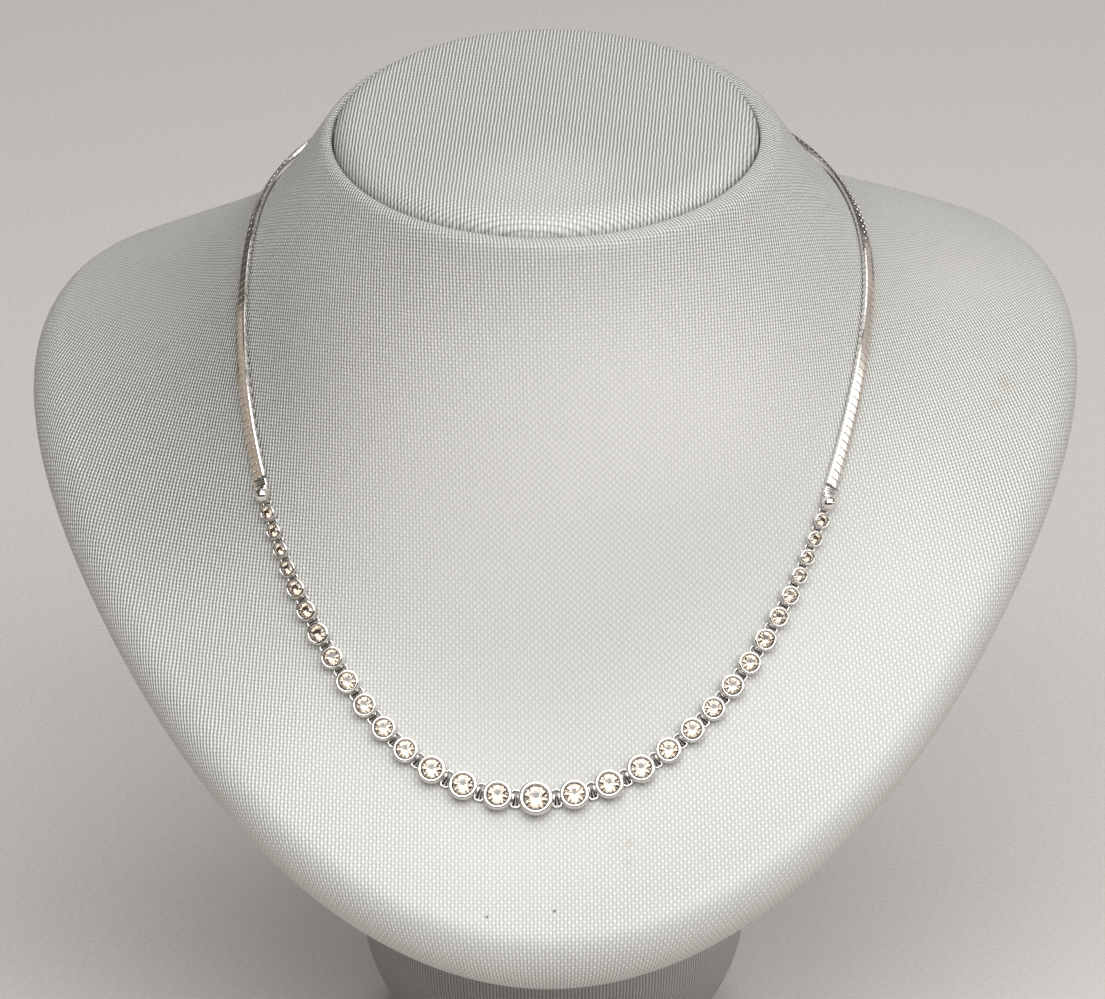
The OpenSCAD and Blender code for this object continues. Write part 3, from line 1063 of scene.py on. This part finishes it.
@dataclass
class Row:
    """Sizes and places of the beads of one side, counted from the centre outwards.

    The gap between two beads is a share of the smaller one's diameter, and so is the scale of the link in it,
    which is 1 beside a bead of full size.
    """

    gap_share: float = 0.208
    full_size: float = 5.8
    sizes: Array = field(default_factory=bead_sizes)

    def __post_init__(self) -> None:
        """Adds up the pitches."""
        near, far = self.sizes[:-1], self.sizes[1:]
        self.half_gaps = self.gap_share * np.minimum(near, far) / 2
        pitch = (near + far) / 2 + 2 * self.half_gaps
        self.at = np.concatenate([[0], np.cumsum(pitch)])
        self.link_at = self.at[:-1] + near / 2 + self.half_gaps
        self.link_scale = np.minimum(near, far) / self.full_size

    @property
    def settings(self) -> int:
        """Number of settings on each side of the centre one."""
        return len(self.sizes) - 2


@dataclass(frozen=True)
class Goldwork:
    """Shapes of the polished pieces, drawn flat on their own frames.

    Sizes of links and knuckles are for a link of scale 1. A squareness is the power of an oval's outline.
    """

    row: Row
    cup_rows: int = 63
    cup_columns: int = 64
    seat_share: float = 0.2
    bend: float = 0.2
    post_middle: float = 0.41
    bridge_height: float = 1.05
    knuckle_squareness: float = 6.0
    # Where the knuckles' painted shade starts, and how fast it fades with height.
    tarnish_start: float = 3.2
    tarnish_fall: float = 4.0
    link_half_width: float = 0.925
    link_half_height: float = 1.675
    link_squareness: float = 3.6
    link_rows: int = 44
    wire_middle: float = 0.44
    wire_half_height: float = 0.3
    wire_half_width: float = 0.225
    wire_squareness: float = 2.6
    ball_rows: int = 41
    ball_columns: int = 56
    pole: float = 0.001
    cap_width: float = 3.1
    cap_height: float = 1.25
    cap_squareness: float = 4.0

    def cup(self, d: float) -> Shell:
        """Bezel cup: a closed B-spline of radius and height, turned about its axis.

        Args:
            d: the cup's diameter.

        Returns:
            The cup, its back open.
        """
        pulls = d * np.array([
            [0.30, 0.0], [0.36, -0.004], [0.366, 0.06], [0.366, 0.14], [0.41, 0.2], [0.462, 0.235],
            [0.5, 0.28], [0.512, 0.33], [0.508, 0.39], [0.496, 0.44], [0.488, 0.482], [0.455, 0.504],
            [0.405, 0.512], [0.37, 0.495], [0.35, 0.44], [0.345, 0.36], [0.34, 0.3], [0.29, 0.235],
            [0.25, 0.18], [0.246, 0.08], [0.25, 0.0],
        ])
        at = np.linspace(0, len(pulls), self.cup_rows, endpoint=False)
        return turned(round_spline(pulls, at), self.cup_columns, True)

    def knuckle(self, link: int, d: float) -> Shell:
        """Staple from inside a bead over the end bar of a link and down inside it, with painted shade below,
        where it stands in the dark slot of the link.

        A bridge comes down in a bend, and a broad post and a toe stand inside the link.

        Args:
            link: number of the link, 1 beside the centre.
            d: the bead's diameter.

        Returns:
            The staple, drawn from the link's middle with the bead on +X.
        """
        s = self.row.link_scale[link - 1]
        end = self.row.half_gaps[link - 1] + self.seat_share * d
        middle, high, r = self.post_middle, self.bridge_height, self.bend
        turn = np.radians(np.linspace(180, 90, 7))
        arc = np.stack([middle + r * (1 + np.cos(turn)), high - r * (1 - np.sin(turn))], 1)
        # Each part: its line of X and Z, its half sizes along Y and across, and where it lies along Y.
        bridge = (np.concatenate([[[middle, 0.1], [middle, 0.45]], arc, [[end / s, high]]]), (0.6, 0.2), 0.35)
        post = (np.array([[0.45, 0.1], [0.45, 0.8]]), (0.95, 0.09), 0.0)
        toe = (np.array([[0.12, 0.19], [0.5, 0.19]]), (0.85, 0.09), -0.4)
        shells = []
        for line, half, rise in (bridge, post, toe):
            path = s * np.stack([line[:, 0], rise + 0 * line[:, 0], line[:, 1]], 1)
            side = np.array([0, 1.0, 0])
            up = np.cross(unit(np.gradient(path, axis=0)), side)
            shells.append(swept(path, side, up, s * oval(*half, 24, self.knuckle_squareness)))
        staple = joined(shells)
        # Painted shade of the slot: whole up to 0.55 link scales above the cloth, gone by 0.8.
        tarnish = self.tarnish_start - self.tarnish_fall * staple.points[:, 2] / s
        return replace(staple, tarnish=np.clip(tarnish, 0, 1))

    def link(self, number: int) -> Shell:
        """O-link: a rounded wire along a rounded rectangle, lying flat.

        Args:
            number: number of the link, 1 beside the centre.

        Returns:
            The link on its own frame.
        """
        s = self.row.link_scale[number - 1]
        ring = oval(self.link_half_width * s, self.link_half_height * s, self.link_rows, self.link_squareness)
        ahead = np.roll(ring, -1, 0) - np.roll(ring, 1, 0)
        out = unit(np.stack([ahead[:, 1], -ahead[:, 0], 0 * ahead[:, 0]], 1))
        path = np.stack([ring[:, 0], ring[:, 1], np.full(len(ring), self.wire_middle * s)], 1)
        wire = oval(self.wire_half_height * s, self.wire_half_width * s, 12, self.wire_squareness)
        return swept(path, np.array([0, 0, 1.0]), out, wire, True)

    def setting(self, rank: int) -> Shell:
        """Cup with its two knuckles.

        Args:
            rank: place in the row, 0 for the centre.

        Returns:
            The setting on its own frame, with the next bead outwards on +X.
        """
        d = self.row.sizes[rank]
        shells = [self.cup(d)]
        for link, way in ((max(rank, 1), -1), (rank + 1, 1)):
            reach = d / 2 + self.row.half_gaps[link - 1]
            turn = np.array([[-way, 0, 0, way * reach], [0, 1.0, 0, 0], [0, 0, 1.0, 0]])
            shells.append(self.knuckle(link, d).placed(turn))
        return joined(shells)

    def ball(self) -> Shell:
        """Polished end ball: half a circle turned about the thread, with its ferrule and its knuckle.

        Returns:
            The ball on its own frame, the ferrule on +X and the knuckle on -X.
        """
        rank = len(self.row.sizes) - 1
        d = self.row.sizes[rank]
        r = d / 2
        t = np.radians(np.linspace(-90, 90, self.ball_rows))
        lathe = np.stack([r * np.cos(t), r * np.sin(t)], 1)
        lathe[[0, -1], 0] = self.pole
        lay = np.array([[0, 0, 1.0, 0], [0, 1.0, 0, 0], [-1.0, 0, 0, r]])
        reach = r + self.row.half_gaps[rank - 1]
        turn = np.array([[1.0, 0, 0, -reach], [0, 1.0, 0, 0], [0, 0, 1.0, 0]])
        ball = turned(lathe, self.ball_columns).placed(lay)
        return joined([ball, self.knuckle(rank, d).placed(turn), self.ferrule(r)])

    def ferrule(self, r: float) -> Shell:
        """Flat grooved cap over the chain's end: rings along +X, each drawn in from the cap's full size.

        Args:
            r: radius of the ball that it starts in.

        Returns:
            The cap, closed at its ends.
        """
        wide, high = self.cap_width / 2, self.cap_height / 2
        rings = []
        for x, inset in ((0.2 * r, 0.3), (0.9 * r, 0.3), (r + 0.15, 0.05), (r + 0.3, 0.0), (r + 0.6, 0.0),
                         (r + 0.7, 0.09), (r + 0.8, 0.0), (r + 1.0, 0.0), (r + 1.1, 0.09), (r + 1.2, 0.0),
                         (r + 1.5, 0.0), (r + 1.6, 0.08), (r + 1.6, 0.3)):
            ring = oval(high - inset, wide - inset, 40, self.cap_squareness)
            rings.append(np.stack([np.full(len(ring), x), ring[:, 1], high - ring[:, 0]], 1))
        return net(np.stack(rings, 1), True, False, ends=True)


@dataclass(frozen=True)
class Brilliant:
    """Round brilliant cut: table, stars, kites and girdle facets above, mains and halves below."""

    girdle: float = 0.338
    girdle_low: float = 0.375
    girdle_high: float = 0.39
    table: float = 0.19
    crown_angle: float = 29.0
    star: float = 0.262
    pavilion: float = 40.0
    half: float = 0.075

    def shell(self, d: float, spin: float) -> Shell:
        """The stone for a cup of diameter d.

        Args:
            d: the cup's diameter.
            spin: turn about the stone's axis in degrees.

        Returns:
            Flat facets; each kite and main lies in the plane of its own slope.
        """
        eighth, step = np.radians(45.0), np.radians(22.5)
        slope, low = math.tan(math.radians(self.crown_angle)), math.tan(math.radians(self.pavilion))
        k = np.arange(8)

        def ring(angles: Array, radius: float, z: float) -> Array:
            """Points round the stone's axis at the given angles, turned by the spin."""
            a = angles + math.radians(spin)
            return np.stack([radius * np.cos(a), radius * np.sin(a), z + 0 * a], 1)

        top = self.girdle_high + (self.girdle - self.table) * slope
        star_z = top - (self.star * math.cos(step) - self.table) * slope
        half_z = self.girdle_low - (self.girdle - self.half * math.cos(step)) * low
        rim = np.arange(16) * step
        points = np.concatenate([
            ring(k * eighth, self.table, top), ring(k * eighth + step, self.star, star_z),
            ring(rim, self.girdle, self.girdle_high), ring(rim, self.girdle, self.girdle_low),
            ring(k * eighth + step, self.half, half_z), [[0, 0, self.girdle_low - self.girdle * low]],
        ])
        n = (k + 1) % 8
        table, star, high, under, half, tip = 0, 8, 16, 32, 48, 56
        e = np.arange(16)
        f = (e + 1) % 16
        faces = [
            (table + k)[None], np.stack([table + n, table + k, star + k], 1),
            np.stack([table + n, star + k, high + 2 * n, star + n], 1),
            np.stack([star + k, high + 2 * k, high + 2 * k + 1], 1),
            np.stack([star + k, high + 2 * k + 1, high + 2 * n], 1),
            np.stack([high + e, under + e, under + f, high + f], 1),
            np.stack([half + k, under + 2 * k + 1, under + 2 * k], 1),
            np.stack([half + k, under + 2 * n, under + 2 * k + 1], 1),
            np.stack([half + k, np.full(8, tip), half + n, under + 2 * n], 1),
        ]
        return Shell(points * d, faces)


@dataclass(frozen=True)
class Clasp:
    """The plain closed clasp at the nape: a flat bar with round ends and softened edges."""

    length: float = 9.0
    width: float = 3.6
    squareness: float = 5.0
    columns: int = 64

    def shell(self) -> Shell:
        """Ovals stacked from the bar's back to its face, each drawn in from the full size.

        Returns:
            The bar, its length on X.
        """
        rings = []
        for inset, z in ((1.0, 0.0), (0.25, 0.02), (0.06, 0.1), (0.0, 0.3), (0.0, 1.5), (0.06, 1.7),
                         (0.25, 1.78), (1.0, 1.8)):
            ring = oval(self.length / 2 - inset, self.width / 2 - inset, self.columns, self.squareness)
            rings.append(np.concatenate([ring, np.full((self.columns, 1), z)], 1))
        return net(np.stack(rings, 1), True, False, ends=True)


@dataclass(frozen=True)
class FlatChain:
    """The flat herringbone chain from an end ball to the clasp, a row of bent plates.

    Each plate runs across the band: up the inner side, over the flat face on a slant and down the outer side.
    The neck's side of the band lies on +Y of the thread's frames.
    """

    thread: Thread
    row: Row
    width: float = 2.9
    thickness: float = 1.05
    plate: float = 0.4
    pitch: float = 1.5
    half_share: float = 0.493
    slant: float = 0.6
    slant_rate: float = 1.5
    yaw: float = 0.25
    cut: float = 0.04
    groove: float = 0.19
    ferrule: float = 1.6
    gap: float = 0.1
    clasp: Clasp = Clasp()

    def profile(self) -> tuple[Array, Array]:
        """Middle line of a plate from the inner to the outer side, with its outward directions.

        Returns:
            Points of Y and Z, shape (m, 2), and unit vectors, shape (m, 2).
        """
        half, high = (self.width - self.plate) / 2, self.thickness - self.plate / 2
        line = np.array([[half, 0.2], [half, 0.66], [0.97 * half, high - 0.06], [0.88 * half, high],
                         [0.5 * half, high], [0.36 * half, high], [0.22 * half, high], [-0.22 * half, high],
                         [-0.34 * half, high], [-0.46 * half, high - 0.03], [-0.9 * half, high - 0.13],
                         [-half, 0.5], [-half, 0.2]])
        ahead = np.gradient(line, axis=0)
        return line, unit(np.stack([ahead[:, 1], -ahead[:, 0]], 1))

    def outline(self, half: float, notch: Array) -> Array:
        """Cross-sections of a plate: rectangles with their upper corners cut off.

        Args:
            half: half the plate's length along the thread.
            notch: length of the cut at each point of the middle line, shape (m,).

        Returns:
            Outlines, shape (m, 6, 2).
        """
        low, high, cut = -self.plate / 2, self.plate / 2, np.minimum(notch, self.plate / 2)
        rows = [(half, low + 0 * cut), (half, high - cut), (half - notch, high + 0 * cut),
                (notch - half, high + 0 * cut), (-half, high - cut), (-half, low + 0 * cut)]
        return np.stack([np.stack(np.broadcast_arrays(x, y), 1) for x, y in rows], 1)

    def build(self, side: Side, finish: bpy.types.Material) -> bpy.types.Object:
        """Lays the plates along the thread; each lags towards the front on its outer side.

        Args:
            side: which half of the necklace.
            finish: the band's material.

        Returns:
            The object.
        """
        start = self.row.at[-1] + self.row.sizes[-1] / 2 + self.ferrule + self.gap
        end = self.thread.length / 2 - self.clasp.length / 2 - self.gap
        half = self.pitch * self.half_share
        count = int((end - start - self.slant) / self.pitch)
        pitch = (end - start - self.slant - 2 * half) / (count - 1)
        line, out = self.profile()
        lag = self.slant * np.clip(0.5 - line[:, 0] / self.width * self.slant_rate, 0, 1)
        at = start + self.slant + half + pitch * np.arange(count)[:, None] - lag
        m = len(line)
        frames = self.thread.frames(side.value * at.ravel()).reshape(count, m, 3, 4)
        y, z = frames[..., 1], frames[..., 2]
        along = unit(side.value * frames[..., 0] + self.yaw * (lag / self.slant)[:, None] * y)
        path = frames[..., 3] + y * line[:, :1] + z * line[:, 1:]
        up = y * out[:, :1] + z * out[:, 1:]
        notch = np.full(m, self.cut)
        notch[[5, 8]] = self.groove
        outline = self.outline(half, notch)
        shells = [swept(path[i], along[i], up[i], outline) for i in range(count)]
        return piece(f"flat_chain_{side.word}", joined(shells), [f"chain_{side.word}"], finish,
                     smooth=False)


@dataclass(frozen=True)
class Necklace:
    """The whole necklace on its thread."""

    thread: Thread
    row: Row
    gold: bpy.types.Material
    chain_gold: bpy.types.Material
    stone: bpy.types.Material
    centre_spin: float = 8.0
    spin_step: float = 17.0

    def frame(self, at: float) -> Array:
        """One frame of the thread."""
        return self.thread.frames(np.array([at]))[0]

    @staticmethod
    def handed(frame: Array, side: Side) -> Array:
        """The frame with its X turned outwards on the left side, where it mirrors what it holds."""
        return frame * np.array([side.value, 1, 1, 1])

    def settings(self) -> None:
        """All cups with their knuckles."""
        work = Goldwork(self.row)
        centre = work.setting(0).placed(self.frame(0))
        piece("cup_centre", centre, ["setting_centre"], self.gold)
        for side in Side:
            for rank in range(1, self.row.settings + 1):
                number = self.row.settings + 1 - rank
                frame = self.handed(self.frame(side.value * self.row.at[rank]), side)
                piece(f"cup_{side.word}_{number}", work.setting(rank).placed(frame),
                      [f"setting_{side.word}_{number}"], self.gold)

    def links(self) -> None:
        """The O-links between the beads, and the end balls."""
        work = Goldwork(self.row)
        for side in Side:
            shells = [work.link(n).placed(self.frame(side.value * self.row.link_at[n - 1]))
                      for n in range(1, len(self.row.sizes))]
            piece(f"o_links_{side.word}", joined(shells), [f"links_{side.word}"], self.gold)
            frame = self.handed(self.frame(side.value * self.row.at[-1]), side)
            piece(f"ball_{side.word}", work.ball().placed(frame), [f"end_ball_{side.word}"],
                  self.gold)

    def stones(self) -> None:
        """The brilliants in their cups, each turned a little differently."""
        cut = Brilliant()
        centre = cut.shell(self.row.sizes[0], self.centre_spin).placed(self.frame(0))
        piece("brilliant_centre", centre, ["stone_centre"], self.stone, smooth=False)
        for side in Side:
            shells = [cut.shell(self.row.sizes[k], self.spin_step * k).placed(
                self.frame(side.value * self.row.at[k])) for k in range(1, self.row.settings + 1)]
            piece(f"brilliants_{side.word}", joined(shells), [f"stones_{side.word}"], self.stone,
                  smooth=False)

    def clasp(self) -> None:
        """The clasp at the middle of the nape."""
        shell = Clasp().shell().placed(self.frame(self.thread.length / 2))
        piece("clasp_bar", shell, ["clasp"], self.gold)

    def build(self) -> None:
        """Builds every piece of the necklace."""
        self.settings()
        self.links()
        self.stones()
        for side in Side:
            FlatChain(self.thread, self.row).build(side, self.chain_gold)
        self.clasp()


@dataclass(frozen=True)
class Studio:
    """Pale floor, soft lights and the camera."""

    picture_width: int = 1105
    picture_height: int = 999
    focal: float = 5750.0
    elevation: float = 25.0
    azimuth: float = -0.1
    roll: float = -0.56
    distance: float = 1173.0
    target: tuple[float, float, float] = (0.0, 0.0, 106.0)
    middle: tuple[float, float] = (550.0, 545.0)
    sensor: float = 36.0
    nearest: float = 0.01
    farthest: float = 50.0
    aim: tuple[float, float, float] = (0.0, 0.0, 0.12)
    surround: Colour = (0.80, 0.74, 0.66, 1)
    surround_strength: float = 0.12
    floor_half: float = 3.0
    floor_dark: Colour = (0.62, 0.59, 0.57, 1)
    floor_light: Colour = (0.67, 0.64, 0.62, 1)
    grain_scale: float = 900.0

    def camera(self) -> None:
        """Camera at the photograph's angle, turned so that the picture's middle is on its axis."""
        e, a, r = (math.radians(x) for x in (self.elevation, self.azimuth, self.roll))
        ahead = Vector((-math.sin(a) * math.cos(e), math.cos(a) * math.cos(e), -math.sin(e)))
        level = Vector((math.cos(a), math.sin(a), 0.0))
        over = level.cross(ahead)
        right = level * math.cos(r) + over * math.sin(r)
        up = over * math.cos(r) - level * math.sin(r)
        place = Vector(self.target) - self.distance * ahead
        dx = (self.picture_width / 2 - self.middle[0]) / self.focal
        dy = (self.middle[1] - self.picture_height / 2) / self.focal
        look = (ahead + dx * right + dy * up).normalized()
        right = (right - look * right.dot(look)).normalized()
        up = right.cross(look)
        data = bpy.data.cameras.new("camera")
        data.sensor_width = self.sensor
        data.lens = self.focal / self.picture_width * data.sensor_width
        data.clip_start, data.clip_end = self.nearest, self.farthest
        camera = bpy.data.objects.new("camera", data)
        turn = Matrix((right, up, -look)).transposed().to_4x4()
        camera.matrix_world = Matrix.Translation(place * MM) @ turn
        bpy.context.scene.collection.objects.link(camera)
        bpy.context.scene.camera = camera

    def lamp(self, name: str, place: tuple[float, float, float], size: tuple[float, float], power: float,
             tint: tuple[float, float, float] = (1.0, 1.0, 1.0)) -> None:
        """A soft light that faces the bust.

        Args:
            name: its name.
            place: its middle, in metres.
            size: its width and height, in metres.
            power: watts.
            tint: colour of its light.
        """
        data = bpy.data.lights.new(name, "AREA")
        data.shape = "RECTANGLE"
        data.size, data.size_y = size
        data.energy, data.color = power, tint
        obj = bpy.data.objects.new(name, data)
        obj.location = place
        obj.rotation_euler = (Vector(self.aim) - Vector(place)).to_track_quat("-Z", "Y").to_euler()
        bpy.context.scene.collection.objects.link(obj)

    def lights(self) -> None:
        """Lamps in front, to the right, behind and above, and a dim surround."""
        self.lamp("front", (0.0, -1.05, 1.2), (1.5, 0.8), 15.5)
        self.lamp("front_right", (0.85, -0.85, 1.0), (0.7, 0.7), 4.0, (1.0, 0.99, 0.97))
        self.lamp("right", (0.96, 0.0, 1.25), (0.7, 0.7), 3.2)
        self.lamp("window", (1.38, -0.5, 0.52), (0.95, 0.4), 1.6)
        self.lamp("right_card", (1.42, 0.4, 0.25), (1.6, 0.5), 1.3, (1.0, 0.88, 0.80))
        self.lamp("left_card", (-1.45, -0.05, 0.36), (1.3, 0.6), 0.9, (1.0, 0.84, 0.66))
        self.lamp("back", (0.0, 0.96, 1.25), (0.7, 0.7), 4.0)
        self.lamp("ceiling", (0.0, -0.4, 1.55), (1.2, 1.2), 7.5)
        world = bpy.data.worlds.new("surround")
        world.use_nodes = True
        ground = world.node_tree.nodes["Background"]
        ground.inputs["Color"].default_value = self.surround
        ground.inputs["Strength"].default_value = self.surround_strength
        bpy.context.scene.world = world
        bpy.context.scene.view_settings.view_transform = "Standard"

    def floor(self) -> None:
        """A wide warm grey floor with a faint paper grain."""
        half = self.floor_half
        mesh = bpy.data.meshes.new("floor")
        mesh.from_pydata([(-half, -half, 0), (half, -half, 0), (half, half, 0), (-half, half, 0)], [],
                         [(0, 1, 2, 3)])
        bench = Bench.new("floor_paper")
        grain = bench.noise(bench.place(), self.grain_scale, 2.0)
        colour = bench.mix(bench.steps(grain, 0.3, 0.7), self.floor_dark, self.floor_light)
        mesh.materials.append(bench.finish(Base_Color=colour, Roughness=0.8))
        obj = bpy.data.objects.new("floor", mesh)
        bpy.context.scene.collection.objects.link(obj)

    def build(self) -> None:
        """Sets everything up."""
        self.camera()
        self.lights()
        self.floor()


def main() -> None:
    """Builds the studio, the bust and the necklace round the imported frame."""
    logging.basicConfig(level=logging.INFO, format="%(message)s")
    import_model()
    Studio().build()
    bust = Bust()
    BustCover(bust).build()
    CapPad(bust.lip).build()
    PedestalCover(bust.foot).build()
    thread = Thread(bust)
    log.info("thread: %.1f mm round", thread.length)
    Necklace(thread, Row(), WhiteGold("white_gold").material(),
             WhiteGold("chain_white_gold", roughness=0.16).material(),
             ChampagneBrilliant("champagne_brilliant").material()).build()


if __name__ == "__main__":
    main()
